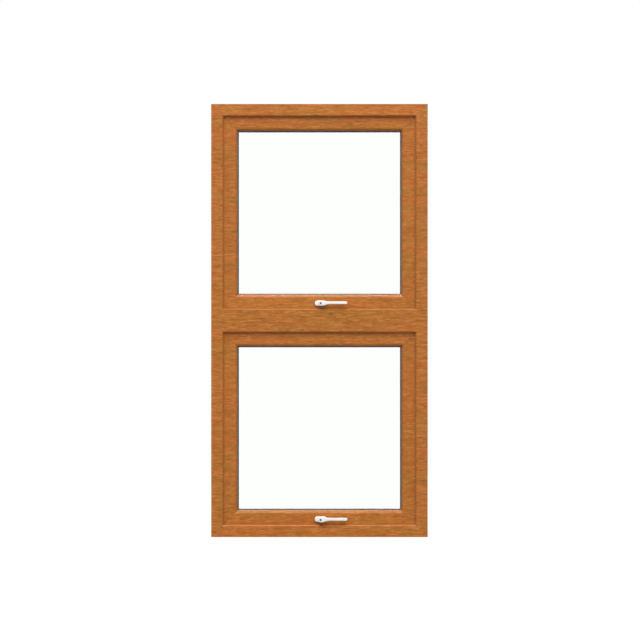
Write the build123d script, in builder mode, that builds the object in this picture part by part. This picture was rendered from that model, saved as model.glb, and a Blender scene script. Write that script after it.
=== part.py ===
from build123d import *
import os

# Top hung window: two equal sashes, one above the other, in a frame of foiled uPVC.
# +Z is up, -Y faces the room and +Y faces outdoors. The origin is the middle of the sill's underside.
# A section is drawn as (inward, depth): inward is measured from the outer edge of the ring.

# Overall size
frame_width = 900.0
frame_height = 1800.0
frame_depth = 70.0

# Frame and transom section
frame_face = 50.0
transom_face = 98.0
upstand_thickness = 11.0
edge_bevel = 4.0
sash_overlap = 10.0
hardware_gap = 12.0
outer_leg = 6.0
outer_leg_depth = 11.0
wall = 3.0
chamber_side = 5.0
chamber_front = 7.0
leg_web = 1.0

# Weather seal behind the upstand
seal_reach = 2.0
seal_nose = 1.0
seal_flap = 4.0
seal_slack = 0.5

# Sash section
weather_gap = 3.0
sash_face = 48.0
rebate_depth = 11.0

# Hardware groove round the sash's edge
groove_width = 16.4
groove_depth = 2.8
bar_groove_width = 10.6
bar_groove_depth = 2.6
groove_setback = 25.0

# Glazing unit and beads
pane_thickness = 4.0
cavity = 16.0
glass_gap = 5.0
glazing_seal = 3.0
bead_width = 20.0
bead_flat = 7.0
bead_foot_width = 2.6
bead_foot_height = 2.3
bead_foot_clearance = 0.2
bead_edge = 2.0
spacer_width = 11.0
spacer_bite = 2.5
seal_lip = 2.5
seal_width = 12.0
packer_length = 100.0

# Reinforcement
steel_thickness = 1.5
steel_clearance = 0.3
steel_setback = 60.0
steel_gap = 2.0

# Friction stays
support_length = 200.0
pivot_drop = 4.0
track_width = 18.0
track_thickness = 1.5
track_height = 5.5
track_lip = 3.0
track_overrun = 24.0
track_head = 14.0
arm_width = 16.0
sash_arm_width = 19.0
arm_thickness = 2.6
arm_clearance = 0.3
sash_arm_tail = 90.0
shoe_nose = 12.0
shoe_tail = 28.0
shoe_bevel = 2.0
rivet_radius = 2.5
rivet_clearance = 0.08
boss_radius = 4.0
arm_hole_radius = 2.2

# Lock in the bottom rail
faceplate_width = 16.0
faceplate_thickness = 2.5
faceplate_setback = 40.0
bar_width = 10.0
bar_thickness = 2.0
cam_spacing = 500.0
cam_travel = 20.0
cam_radius = 3.0
cam_head_radius = 5.5
cam_head_height = 2.0
cam_reach = 9.5
cam_slot_clearance = 1.0
gearbox_length = 70.0
gearbox_thickness = 12.0
gearbox_clearance = 0.3
gearbox_bevel = 3.0
keep_length = 64.0
keep_width = 24.0
keep_thickness = 2.0
keep_lip_height = 6.0
keep_clearance = 0.5
keep_lip_setback = 1.0

# Handle
handle_inset = 33.0
handle_aside = 5.0
rose_length = 49.0
rose_width = 25.0
rose_height = 9.0
rose_bevel = 2.5
hub_radius = 10.5
hub_height = 20.0
hub_step = 1.5
hub_draft = 4.0
lever_reach = 112.0
lever_width = 15.0
lever_depth = 11.0
lever_head_radius = 12.0
lever_neck = 36.0
lever_front_bevel = 3.0
lever_back_bevel = 1.5
spindle_size = 7.0
spindle_clearance = 0.4
spindle_opening = 7.0
handle_clearance = 0.3
screw_radius = 4.0
screw_height = 1.7
screw_recess = 2.0
screw_clearance = 0.1
screw_slot_width = 1.0
screw_slot_depth = 0.8

os.makedirs("parts", exist_ok=True)

# Planes and levels that several pieces share
room_face = -frame_depth / 2
outdoor_face = frame_depth / 2
upstand_back = room_face + upstand_thickness
leg_front = outdoor_face - outer_leg_depth
rebate_floor = frame_face - sash_overlap - hardware_gap
sash_front = upstand_back + weather_gap
groove_axis = sash_front + groove_setback
glazing_leg = outdoor_face - rebate_depth
outer_seal_front = glazing_leg - glazing_seal
glass_back = outer_seal_front
glass_front = glass_back - cavity - 2 * pane_thickness
bead_back = glass_front - glazing_seal
sight_inset = sash_face + bead_width
glass_inset = sash_face + glass_gap
sash_half_width = frame_width / 2 - frame_face + sash_overlap
light_height = (frame_height - 2 * frame_face - transom_face) / 2
sash_height = light_height + 2 * sash_overlap
transom_middle = frame_height / 2
light_floors = {"lower": frame_face, "upper": frame_face + light_height + transom_face}


def save(part, name):
    """Label a finished piece and write it as its own file."""
    part.label = name
    export_step(part, f"parts/{name}.step")


def ring_path(half_width, bottom, top):
    """The rectangle that a ring's section is carried round."""
    with BuildLine(Plane.XZ) as path:
        Polyline((-half_width, bottom), (half_width, bottom), (half_width, top), (-half_width, top),
                 close=True)
    return path.wires()[0]


def section_plane(bottom):
    """The plane of a ring's section: inward is up, depth is towards outdoors."""
    return Plane(origin=(0, 0, bottom), x_dir=(0, 0, 1), z_dir=(-1, 0, 0))


def outline(*points, mode=Mode.ADD):
    """A closed straight-sided area in the sketch that is being drawn."""
    with BuildLine() as edge:
        Polyline(*points, close=True)
    make_face(edge.edges(), mode=mode)


def area(low, high, mode=Mode.ADD):
    """A rectangle from its low corner to its high corner, as a chamber or a bar's section."""
    outline(low, (high[0], low[1]), high, (low[0], high[1]), mode=mode)


def swept_area(half_width, bottom, top, low, high):
    """A ring of plain rectangular section."""
    with BuildPart() as ring:
        with BuildSketch(section_plane(bottom)):
            area(low, high)
        sweep(path=ring_path(half_width, bottom, top), transition=Transition.RIGHT)
    return ring.part


def block(low, high):
    """A straight-sided block from its low corner to its high corner."""
    with BuildPart() as solid:
        with BuildSketch(Plane.XY.offset(low[2])):
            area(low[:2], high[:2])
        extrude(amount=high[2] - low[2])
    return solid.part


def edge_plane(inward):
    """The plane across the window at a distance inward from the right jamb's outer side."""
    return Plane(origin=(frame_width / 2 - inward, 0, 0), x_dir=(0, 1, 0), z_dir=(-1, 0, 0))


def disc(plane, depth, level, radius, height, mode=Mode.ADD):
    """A round boss, pin or hole that stands on an edge plane at a depth and a level."""
    with BuildSketch(plane) as round_face:
        with Locations((depth, -level)):
            Circle(radius)
    extrude(round_face.sketch, amount=height, mode=mode)


# Outer frame

frame_chambers = [
    ((chamber_side, upstand_back + chamber_front), (rebate_floor - wall, leg_front - wall)),
    ((wall, room_face + wall), (frame_face - edge_bevel - wall, upstand_back - wall)),
    ((wall, leg_front + leg_web), (rebate_floor - wall, outdoor_face - wall)),
]


def frame_outline():
    """The frame's section: an upstand to the room, the rebate, and a low leg outdoors."""
    outline(
        (0, room_face), (frame_face - edge_bevel, room_face), (frame_face, room_face + edge_bevel),
        (frame_face, upstand_back), (rebate_floor, upstand_back), (rebate_floor, leg_front),
        (rebate_floor + outer_leg, leg_front), (rebate_floor + outer_leg, outdoor_face), (0, outdoor_face),
    )


with BuildPart() as outer_frame:
    with BuildSketch(section_plane(0)):
        frame_outline()
        for low, high in frame_chambers:
            area(low, high, mode=Mode.SUBTRACT)
    sweep(path=ring_path(frame_width / 2, 0, frame_height), transition=Transition.RIGHT)
save(outer_frame.part, "outer_frame")

with BuildPart() as solid_frame:
    with BuildSketch(section_plane(0)):
        frame_outline()
    sweep(path=ring_path(frame_width / 2, 0, frame_height), transition=Transition.RIGHT)


def channel_section(low, high):
    """A galvanised channel, open towards the glass, that fills a chamber with a small clearance."""
    low = (low[0] + steel_clearance, low[1] + steel_clearance)
    high = (high[0] - steel_clearance, high[1] - steel_clearance)
    area(low, high)
    area((low[0] + steel_thickness, low[1] + steel_thickness), (high[0], high[1] - steel_thickness),
         mode=Mode.SUBTRACT)


def rail_steel(bottom, low, high, start, end):
    """A channel along a bottom rail, from start to end across the window."""
    with BuildPart() as steel:
        with BuildSketch(section_plane(bottom).offset(-end)):
            channel_section(low, high)
        extrude(amount=end - start)
    return steel.part


def stile_steel(side, low, high, start, end):
    """A channel up a right-hand side, from start to end in height."""
    plane = Plane(origin=(side, 0, start), x_dir=(-1, 0, 0), z_dir=(0, 0, 1))
    with BuildPart() as steel:
        with BuildSketch(plane):
            channel_section((low[0], -high[1]), (high[0], -low[1]))
        extrude(amount=end - start)
    return steel.part


frame_chamber = frame_chambers[0]
sill_steel_end = frame_width / 2 - steel_setback
with BuildPart() as frame_steels:
    sill_steel = rail_steel(0, *frame_chamber, -sill_steel_end, sill_steel_end)
    jamb_steel = stile_steel(frame_width / 2, *frame_chamber, steel_setback, frame_height - steel_setback)
    add(sill_steel)
    add(mirror(sill_steel, about=Plane.XY.offset(frame_height / 2), mode=Mode.PRIVATE))
    add(jamb_steel)
    add(mirror(jamb_steel, about=Plane.YZ, mode=Mode.PRIVATE))
save(frame_steels.part, "frame_steels")

# Transom

half_face = transom_face / 2
half_floor = half_face - sash_overlap - hardware_gap
half_leg = half_floor + outer_leg
transom_end = frame_width / 2 - rebate_floor
transom_chamber = ((wall - half_floor, upstand_back + chamber_front), (half_floor - wall, leg_front - wall))

with BuildPart() as transom:
    with BuildSketch(section_plane(transom_middle).offset(-transom_end)):
        outline(
            (-half_face, upstand_back), (-half_face, room_face + edge_bevel),
            (-half_face + edge_bevel, room_face), (half_face - edge_bevel, room_face),
            (half_face, room_face + edge_bevel), (half_face, upstand_back), (half_floor, upstand_back),
            (half_floor, leg_front), (half_leg, leg_front), (half_leg, outdoor_face),
            (-half_leg, outdoor_face), (-half_leg, leg_front), (-half_floor, leg_front),
            (-half_floor, upstand_back),
        )
        area(*transom_chamber, mode=Mode.SUBTRACT)
    extrude(amount=2 * transom_end)
    add(solid_frame.part, mode=Mode.SUBTRACT)
save(transom.part, "transom")

transom_steel = rail_steel(transom_middle, *transom_chamber, steel_setback - transom_end,
                           transom_end - steel_setback)
save(transom_steel, "transom_steel")


def weather_gasket(floor):
    """The black seal behind the upstand that a sash closes on."""
    inset = frame_face - sash_overlap + seal_reach
    lip = frame_face + seal_reach
    crown = upstand_back + weather_gap - seal_slack
    bottom = floor - frame_face
    top = floor + light_height + frame_face
    with BuildPart() as gasket:
        with BuildSketch(section_plane(bottom)):
            outline(
                (inset, upstand_back), (lip, upstand_back), (lip - seal_nose, crown - seal_slack),
                (lip - seal_flap, crown), (inset + seal_nose, crown), (inset, upstand_back + seal_nose),
            )
        sweep(path=ring_path(frame_width / 2, bottom, top), transition=Transition.RIGHT)
    return gasket.part


# Stays, drawn for the right-hand side: inward distances from the jamb's outer side

sash_edge = frame_face - sash_overlap
sash_arm_inner = sash_edge - arm_thickness
support_inner = sash_arm_inner - arm_clearance - arm_thickness


def arm(start_inward, low_level, high_level, width, mode=Mode.ADD):
    """A flat arm with round ends, between two levels."""
    middle = (low_level + high_level) / 2
    with BuildSketch(edge_plane(start_inward)) as flat:
        with Locations((groove_axis, -middle)):
            SlotCenterToCenter(high_level - low_level, width, rotation=90)
    extrude(flat.sketch, amount=arm_thickness, mode=mode)


def stay_track(pivot, shoe_level):
    """The folded track on the jamb, with the rivet that the support arm turns on."""
    low = pivot - track_overrun
    high = shoe_level + track_head
    side = track_width / 2
    top = rebate_floor + track_height
    plane = Plane(origin=(frame_width / 2, groove_axis, low), x_dir=(-1, 0, 0), z_dir=(0, 0, 1))
    with BuildPart() as track:
        with BuildSketch(plane):
            area((rebate_floor, -side), (top, side))
            area((rebate_floor + track_thickness, track_thickness - side), (top - track_thickness,
                 side - track_thickness), mode=Mode.SUBTRACT)
            area((top - track_thickness, track_lip + track_thickness - side), (top, side - track_lip
                 - track_thickness), mode=Mode.SUBTRACT)
        extrude(amount=high - low)
        disc(edge_plane(rebate_floor + track_thickness), groove_axis, pivot, boss_radius,
             support_inner - arm_clearance - rebate_floor - track_thickness)
        disc(edge_plane(support_inner - arm_clearance), groove_axis, pivot, rivet_radius,
             arm_clearance + arm_thickness)
    return track.part


def support_arm(pivot):
    """The arm from the track's pivot to the sash arm, with the rivet at its top."""
    top = pivot + support_length
    with BuildPart() as support:
        arm(support_inner, pivot, top, arm_width)
        disc(edge_plane(support_inner), groove_axis, pivot, rivet_radius + rivet_clearance, arm_thickness,
             mode=Mode.SUBTRACT)
        disc(edge_plane(support_inner + arm_thickness), groove_axis, top, rivet_radius, arm_thickness)
    return support.part


def sash_arm(pivot, shoe_level):
    """The arm screwed to the sash's edge, with holes for the two rivets and the screws."""
    elbow = pivot + support_length
    low = elbow - sash_arm_tail
    with BuildPart() as carrier:
        arm(sash_arm_inner, low, shoe_level, sash_arm_width)
        for level in (elbow, shoe_level):
            disc(edge_plane(sash_arm_inner), groove_axis, level, rivet_radius + rivet_clearance,
                 arm_thickness, mode=Mode.SUBTRACT)
        for level in (low, (elbow + shoe_level) / 2):
            disc(edge_plane(sash_arm_inner), groove_axis, level, arm_hole_radius, arm_thickness,
                 mode=Mode.SUBTRACT)
    return carrier.part


def stay_shoe(shoe_level):
    """The shoe that slides in the track and carries the sash's top."""
    inner = rebate_floor + track_thickness + arm_clearance
    thickness = track_height - 2 * track_thickness - 2 * arm_clearance
    half_width = track_width / 2 - track_thickness - arm_clearance
    with BuildPart() as shoe:
        with BuildSketch(edge_plane(inner)) as slider:
            with Locations((groove_axis, (shoe_tail - shoe_nose) / 2 - shoe_level)):
                Rectangle(2 * half_width, shoe_nose + shoe_tail)
            chamfer(slider.vertices(), shoe_bevel)
        extrude(amount=thickness)
        disc(edge_plane(inner + thickness), groove_axis, shoe_level, boss_radius,
             sash_arm_inner - arm_clearance - inner - thickness)
        disc(edge_plane(sash_arm_inner - arm_clearance), groove_axis, shoe_level, rivet_radius, arm_thickness)
    return shoe.part


# Sash

chamber_inner = groove_depth + bar_groove_depth + wall
chamber_outer = sash_face - wall - bead_foot_height
sash_chambers = [
    ((chamber_inner, sash_front + wall), (chamber_outer, glazing_leg - 2 * wall)),
    ((wall, glazing_leg), (chamber_outer, outdoor_face - wall)),
]
bead_foot_depth = (sash_front + bead_back) / 2
gearbox_inner = groove_depth + bar_groove_depth + gearbox_clearance
gearbox_outer = chamber_outer - gearbox_clearance
spindle_hole_radius = spindle_size / 2 ** 0.5 + spindle_clearance


def sash_frame(bottom):
    """The welded sash, with its hardware groove, bead groove, glazing leg and lock pocket."""
    half_groove = groove_width / 2
    half_bar = bar_groove_width / 2
    groove_floor = groove_depth + bar_groove_depth
    foot_low = bead_foot_depth - bead_foot_width / 2 - bead_foot_clearance
    foot_high = bead_foot_depth + bead_foot_width / 2 + bead_foot_clearance
    foot_floor = sash_face - bead_foot_height - bead_foot_clearance
    leg_top = sight_inset + seal_lip
    with BuildPart() as sash:
        with BuildSketch(section_plane(bottom)):
            outline(
                (0, sash_front), (sash_face, sash_front), (sash_face, foot_low), (foot_floor, foot_low),
                (foot_floor, foot_high), (sash_face, foot_high), (sash_face, glazing_leg),
                (leg_top, glazing_leg), (leg_top, outdoor_face - rebate_depth / 2),
                (leg_top - bead_width, outdoor_face), (0, outdoor_face),
                (0, groove_axis + half_groove), (groove_depth, groove_axis + half_groove),
                (groove_depth, groove_axis + half_bar), (groove_floor, groove_axis + half_bar),
                (groove_floor, groove_axis - half_bar), (groove_depth, groove_axis - half_bar),
                (groove_depth, groove_axis - half_groove), (0, groove_axis - half_groove),
            )
            for low, high in sash_chambers:
                area(low, high, mode=Mode.SUBTRACT)
        sweep(path=ring_path(sash_half_width, bottom, bottom + sash_height), transition=Transition.RIGHT)
        half_pocket = gearbox_length / 2 + gearbox_clearance
        pocket_depth = gearbox_thickness / 2 + gearbox_clearance
        add(block((handle_aside - half_pocket, groove_axis - pocket_depth, bottom + groove_depth),
                  (handle_aside + half_pocket, groove_axis + pocket_depth, bottom + gearbox_outer)),
            mode=Mode.SUBTRACT)
        with BuildSketch(Plane.XZ.offset(-sash_front)):
            with Locations((handle_aside, bottom + handle_inset)):
                Circle(spindle_opening)
        extrude(amount=-2 * wall, mode=Mode.SUBTRACT)
    return sash.part


def sash_steels(bottom):
    """Five channels: two in the bottom rail, clear of the lock, and one in each other rail."""
    chamber = sash_chambers[0]
    top = bottom + sash_height
    half_pocket = gearbox_length / 2 + gearbox_clearance
    reach = sash_half_width - steel_setback
    half_rail = rail_steel(bottom, *chamber, handle_aside + half_pocket + steel_gap, reach)
    whole_rail = rail_steel(bottom, *chamber, -reach, reach)
    stile = stile_steel(sash_half_width, *chamber, bottom + steel_setback, top - steel_setback)
    with BuildPart() as steels:
        add(half_rail)
        add(mirror(half_rail, about=Plane.YZ, mode=Mode.PRIVATE))
        add(mirror(whole_rail, about=Plane.XY.offset(bottom + sash_height / 2), mode=Mode.PRIVATE))
        add(stile)
        add(mirror(stile, about=Plane.YZ, mode=Mode.PRIVATE))
    return steels.part


def bead_ring(bottom):
    """All four glazing beads as one ring: a flat, a rounded nose, and the foot that clips in."""
    foot_low = bead_foot_depth - bead_foot_width / 2
    foot_high = bead_foot_depth + bead_foot_width / 2
    nose = bead_width - bead_flat
    drop = bead_back - sash_front - bead_edge
    with BuildPart() as beads:
        with BuildSketch(section_plane(bottom)):
            with BuildLine():
                Polyline((sight_inset, bead_back - bead_edge), (sight_inset, bead_back),
                         (sash_face, bead_back), (sash_face, foot_high),
                         (sash_face - bead_foot_height, foot_high),
                         (sash_face - bead_foot_height, foot_low), (sash_face, foot_low),
                         (sash_face, sash_front), (sash_face + bead_flat, sash_front))
                EllipticalCenterArc((sash_face + bead_flat, sash_front + drop), nose, drop, 270, arc_size=90)
            make_face()
        sweep(path=ring_path(sash_half_width, bottom, bottom + sash_height), transition=Transition.RIGHT)
    return beads.part


def mitred_quarter(ring, bottom, side):
    """One side of a ring, cut off at the mitres."""
    top = bottom + sash_height
    half = sash_half_width
    reach = 2 * sight_inset
    corners = {
        "bottom": [(-half, bottom), (half, bottom), (half - reach, bottom + reach),
                   (reach - half, bottom + reach)],
        "left": [(-half, bottom), (reach - half, bottom + reach), (reach - half, top - reach), (-half, top)],
    }
    corners["top"] = [(x, bottom + top - z) for x, z in corners["bottom"]]
    corners["right"] = [(-x, z) for x, z in corners["left"]]
    with BuildPart() as quarter:
        add(ring)
        with BuildSketch(Plane.XZ.offset(frame_depth)):
            outline(*corners[side])
        extrude(amount=-2 * frame_depth, mode=Mode.INTERSECT)
    return quarter.part


def pane(bottom, front):
    """One sheet of glass with its front face at a depth."""
    half_width = sash_half_width - glass_inset
    return block((-half_width, front, bottom + glass_inset),
                 (half_width, front + pane_thickness, bottom + sash_height - glass_inset))


def glazing_packers(bottom):
    """Two blocks that the glass stands on and one at each side."""
    quarter = sash_half_width / 2
    with BuildPart() as packers:
        for middle in (-quarter, quarter):
            add(block((middle - packer_length / 2, glass_front, bottom + sash_face),
                      (middle + packer_length / 2, glass_back, bottom + glass_inset)))
        level = bottom + sash_height / 2
        for side in (-1, 1):
            edges = sorted((side * (sash_half_width - sash_face), side * (sash_half_width - glass_inset)))
            add(block((edges[0], glass_front, level - packer_length / 2),
                      (edges[1], glass_back, level + packer_length / 2)))
    return packers.part


# Lock

def lock_faceplate(bottom):
    """The strip in the bottom groove, with a slot for each cam."""
    half_length = sash_half_width - faceplate_setback
    with BuildPart() as faceplate:
        with BuildSketch(Plane.XY.offset(bottom)):
            with Locations((0, groove_axis)):
                SlotOverall(2 * half_length, faceplate_width)
                with Locations((-cam_spacing / 2 - cam_travel / 2, 0), (cam_spacing / 2 - cam_travel / 2, 0)):
                    SlotOverall(cam_travel + 2 * (cam_radius + cam_slot_clearance),
                                2 * cam_radius + cam_slot_clearance, mode=Mode.SUBTRACT)
        extrude(amount=faceplate_thickness)
    return faceplate.part


def lock_bar(bottom):
    """The bar behind the faceplate, with two mushroom cams that stand out of the sash's edge."""
    start = bottom + faceplate_thickness + arm_clearance
    half_length = cam_spacing / 2 + 2 * cam_travel
    with BuildPart() as bar:
        with BuildSketch(Plane.XY.offset(start)):
            with Locations((-cam_travel / 2, groove_axis)):
                Rectangle(2 * half_length, bar_width)
        extrude(amount=bar_thickness)
        for middle in (-cam_spacing / 2, cam_spacing / 2):
            with BuildSketch(Plane.XY.offset(start)):
                with Locations((middle, groove_axis)):
                    Circle(cam_radius)
            extrude(amount=bottom - cam_reach - start)
            with BuildSketch(Plane.XY.offset(bottom - cam_reach)):
                with Locations((middle, groove_axis)):
                    Circle(cam_head_radius)
            extrude(amount=cam_head_height)
    return bar.part


def gearbox(bottom):
    """The lock case, with the round hole that the spindle turns in."""
    low = (handle_aside - gearbox_length / 2, groove_axis - gearbox_thickness / 2, bottom + gearbox_inner)
    high = (handle_aside + gearbox_length / 2, groove_axis + gearbox_thickness / 2,
            bottom + gearbox_outer - gearbox_clearance)
    with BuildPart() as case:
        add(block(low, high))
        chamfer(case.edges().filter_by(Axis.Y), gearbox_bevel)
        with BuildSketch(Plane.XZ.offset(-low[1])):
            with Locations((handle_aside, bottom + handle_inset)):
                Circle(spindle_hole_radius)
        extrude(amount=-gearbox_thickness, mode=Mode.SUBTRACT)
    return case.part


def keeps(floor):
    """Two keeps on the rebate below a sash; each cam stands just short of its keep's lip."""
    level = floor - frame_face + rebate_floor
    lip_start = cam_head_radius + keep_clearance
    with BuildPart() as pair:
        for middle in (-cam_spacing / 2, cam_spacing / 2):
            start = middle - keep_length / 2
            add(block((start, groove_axis - keep_width / 2, level),
                      (start + keep_length, groove_axis + keep_width / 2, level + keep_thickness)))
            add(block((middle + lip_start, groove_axis + cam_head_radius + keep_lip_setback, level),
                      (start + keep_length, groove_axis + keep_width / 2, level + keep_lip_height)))
    return pair.part


# Handle

rose_back = sash_front
rose_front = rose_back - rose_height
hub_back = rose_front - handle_clearance
hub_front = hub_back - hub_height


def handle_base(bottom):
    """The oval rose on the sash's face, with a bevelled rim and a clear hole for the spindle."""
    level = bottom + handle_inset
    with BuildPart() as rose:
        with BuildSketch(Plane.XZ.offset(-rose_back)):
            with Locations((handle_aside, level)):
                SlotOverall(rose_length, rose_width)
                Circle(spindle_hole_radius, mode=Mode.SUBTRACT)
        extrude(amount=rose_height)
        rim = rose.faces().sort_by(Axis.Y)[0].outer_wire()
        chamfer(rim.edges(), rose_bevel)
    return rose.part


def handle_lever(bottom):
    """The hub, the lever that widens to a head over it and points right, and the square spindle."""
    level = bottom + handle_inset
    tip = handle_aside + lever_reach - lever_width / 2
    with BuildPart() as hub:
        with BuildSketch(Plane.XZ.offset(-hub_back)):
            with Locations((handle_aside, level)):
                Circle(hub_radius)
        extrude(amount=hub_height, taper=hub_draft)
    with BuildPart() as lever:
        with BuildSketch(Plane.XZ.offset(-hub_front - hub_step - lever_depth)):
            with Locations((handle_aside, level)):
                Circle(lever_head_radius)
            with Locations((handle_aside + lever_neck, level)):
                Circle(lever_width / 2)
            make_hull()
            with Locations(((handle_aside + lever_neck + tip) / 2, level)):
                SlotCenterToCenter(tip - handle_aside - lever_neck, lever_width)
        extrude(amount=lever_depth)
        chamfer(lever.faces().sort_by(Axis.Y)[0].edges(), lever_front_bevel)
        chamfer(lever.faces().sort_by(Axis.Y)[-1].edges(), lever_back_bevel)
        add(hub.part)
        with BuildSketch(Plane.XZ.offset(-hub_back)):
            with Locations((handle_aside, level)):
                Rectangle(spindle_size, spindle_size)
        extrude(amount=hub_back - groove_axis - gearbox_thickness / 2)
        with BuildSketch(Plane.XZ.offset(-hub_front)):
            with Locations((handle_aside, level)):
                Circle(screw_radius + screw_clearance)
        extrude(amount=-screw_recess, mode=Mode.SUBTRACT)
    return lever.part


def handle_screw(bottom):
    """The screw at the middle of the hub, with a slot across its head."""
    level = bottom + handle_inset
    seat = -hub_front - screw_recess
    with BuildPart() as screw:
        with BuildSketch(Plane.XZ.offset(seat)):
            with Locations((handle_aside, level)):
                Circle(screw_radius)
        extrude(amount=screw_height)
        with BuildSketch(Plane.XZ.offset(seat + screw_height)):
            with Locations((handle_aside, level)):
                Rectangle(2 * screw_radius, screw_slot_width)
        extrude(amount=-screw_slot_depth, mode=Mode.SUBTRACT)
    return screw.part


# Both lights, from their own floors

for light, floor in light_floors.items():
    bottom = floor - sash_overlap
    top = bottom + sash_height
    shoe_level = top - pivot_drop
    pivot = shoe_level - 2 * support_length

    save(weather_gasket(floor), f"{light}_frame_gasket")
    save(keeps(floor), f"{light}_keeps")

    stay_pieces = {
        "track": stay_track(pivot, shoe_level),
        "support_arm": support_arm(pivot),
        "sash_arm": sash_arm(pivot, shoe_level),
        "shoe": stay_shoe(shoe_level),
    }
    for name, piece in stay_pieces.items():
        save(piece, f"{light}_right_{name}")
        save(mirror(piece, about=Plane.YZ), f"{light}_left_{name}")

    save(sash_frame(bottom), f"{light}_sash_frame")
    save(sash_steels(bottom), f"{light}_sash_steels")
    beads = bead_ring(bottom)
    for side in ("top", "bottom", "left", "right"):
        save(mitred_quarter(beads, bottom, side), f"{light}_{side}_bead")
    save(pane(bottom, glass_front), f"{light}_inner_pane")
    save(pane(bottom, glass_back - pane_thickness), f"{light}_outer_pane")
    spacer_outer = sight_inset + seal_lip + spacer_bite
    save(swept_area(sash_half_width, bottom, top, (spacer_outer - spacer_width, glass_front + pane_thickness),
                    (spacer_outer, glass_back - pane_thickness)), f"{light}_spacer_bar")
    seal_outer = sight_inset + seal_lip
    save(swept_area(sash_half_width, bottom, top, (seal_outer - seal_width, bead_back),
                    (seal_outer, glass_front)), f"{light}_inner_glazing_gasket")
    save(swept_area(sash_half_width, bottom, top, (seal_outer - seal_width, glass_back),
                    (seal_outer, glazing_leg)), f"{light}_outer_glazing_gasket")
    save(glazing_packers(bottom), f"{light}_glazing_packers")

    save(lock_faceplate(bottom), f"{light}_lock_faceplate")
    save(lock_bar(bottom), f"{light}_lock_bar")
    save(gearbox(bottom), f"{light}_gearbox")
    save(handle_base(bottom), f"{light}_handle_base")
    save(handle_lever(bottom), f"{light}_handle_lever")
    save(handle_screw(bottom), f"{light}_handle_screw")
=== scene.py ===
# %% [markdown]
# A top hung window: two oak-coloured sashes in one frame, seen from the room. The solids come from
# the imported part, in metres, and stay where they are. X runs to the right, Z up, and the room is
# on the side of -Y. In a window maker's words each opening with its sash is a light.
# This lesson gives every surface its finish, adds the small pieces that the solids leave out, and
# sets a plain studio round the window.

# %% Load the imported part
import bpy
import bmesh
import math
from mathutils import Matrix, Vector


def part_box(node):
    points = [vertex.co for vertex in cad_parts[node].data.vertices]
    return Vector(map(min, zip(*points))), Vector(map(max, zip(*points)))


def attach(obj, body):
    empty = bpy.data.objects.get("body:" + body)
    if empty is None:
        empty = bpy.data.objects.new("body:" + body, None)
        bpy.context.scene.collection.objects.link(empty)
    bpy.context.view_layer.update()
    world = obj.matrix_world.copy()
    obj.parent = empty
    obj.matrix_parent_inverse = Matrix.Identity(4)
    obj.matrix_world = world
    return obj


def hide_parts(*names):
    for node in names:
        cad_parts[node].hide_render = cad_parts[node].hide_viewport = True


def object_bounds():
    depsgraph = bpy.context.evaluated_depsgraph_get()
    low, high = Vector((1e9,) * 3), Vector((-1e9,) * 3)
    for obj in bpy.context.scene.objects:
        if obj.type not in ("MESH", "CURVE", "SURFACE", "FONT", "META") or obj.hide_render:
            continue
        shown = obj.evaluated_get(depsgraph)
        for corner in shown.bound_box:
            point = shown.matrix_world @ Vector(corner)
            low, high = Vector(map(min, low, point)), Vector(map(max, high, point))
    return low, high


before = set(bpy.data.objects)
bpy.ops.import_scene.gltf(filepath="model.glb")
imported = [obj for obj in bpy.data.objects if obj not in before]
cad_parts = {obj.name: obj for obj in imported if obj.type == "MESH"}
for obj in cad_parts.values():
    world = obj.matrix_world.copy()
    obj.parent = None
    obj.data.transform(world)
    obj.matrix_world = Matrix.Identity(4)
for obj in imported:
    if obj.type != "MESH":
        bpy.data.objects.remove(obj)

cad_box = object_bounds()
scene = bpy.context.scene
lights = ("lower", "upper")
mm = 0.001
print("nodes:", len(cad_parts), "box:", cad_box)

# %% [markdown]
# Colours are given as sRGB hex values, which is how a screen shows them. Blender's shaders
# add light in linear values, so one function turns the first into the second.
# One more function adds a node: its attributes are settings, each link is a socket with either a
# plain value or another node's output, and a colour ramp also gets its stops. A Mix node has
# sockets for several kinds of data, so the numbers of the ones for colours get names.

# %% Colours and nodes
mix_factor, mix_first, mix_second = 0, 6, 7
mix_result = 2


def linear(hex_colour):
    """An sRGB hex colour as linear red, green, blue and alpha."""
    values = [int(hex_colour[i:i + 2], 16) / 255 for i in (1, 3, 5)]
    return tuple(v / 12.92 if v <= 0.04045 else ((v + 0.055) / 1.055) ** 2.4 for v in values) + (1.0,)


def add_node(tree, kind, links=(), stops=(), **settings):
    """Add one node with its settings, its links and, on a colour ramp, its stops."""
    node = tree.nodes.new(kind)
    for name, value in settings.items():
        setattr(node, name, value)
    for socket, value in links:
        if isinstance(value, bpy.types.NodeSocket):
            tree.links.new(value, node.inputs[socket])
        else:
            node.inputs[socket].default_value = value
    # A new ramp already has two stops.
    for _ in stops[2:]:
        node.color_ramp.elements.new(0.5)
    for index, (place, colour) in enumerate(stops):
        node.color_ramp.elements[index].position = place
        node.color_ramp.elements[index].color = linear(colour)
    return node


def new_material(name):
    """A material with an empty node tree, and that tree."""
    material = bpy.data.materials.new(name)
    material.use_nodes = True
    material.node_tree.nodes.clear()
    return material, material.node_tree


print("golden oak in linear:", [round(v, 3) for v in linear("#b57037")])

# %% [markdown]
# The frame, the transom, the sashes and the beads are uPVC extrusions with a printed foil on them,
# in golden oak. In the photograph the grain runs across the window everywhere, also on the
# uprights. A picture of wood could be wrapped round the pieces, but a noise that is stretched along
# X needs no picture, has no seams and takes its sizes in millimetres.

# %% Stretched grain
grain_roughness = 0.55


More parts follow.
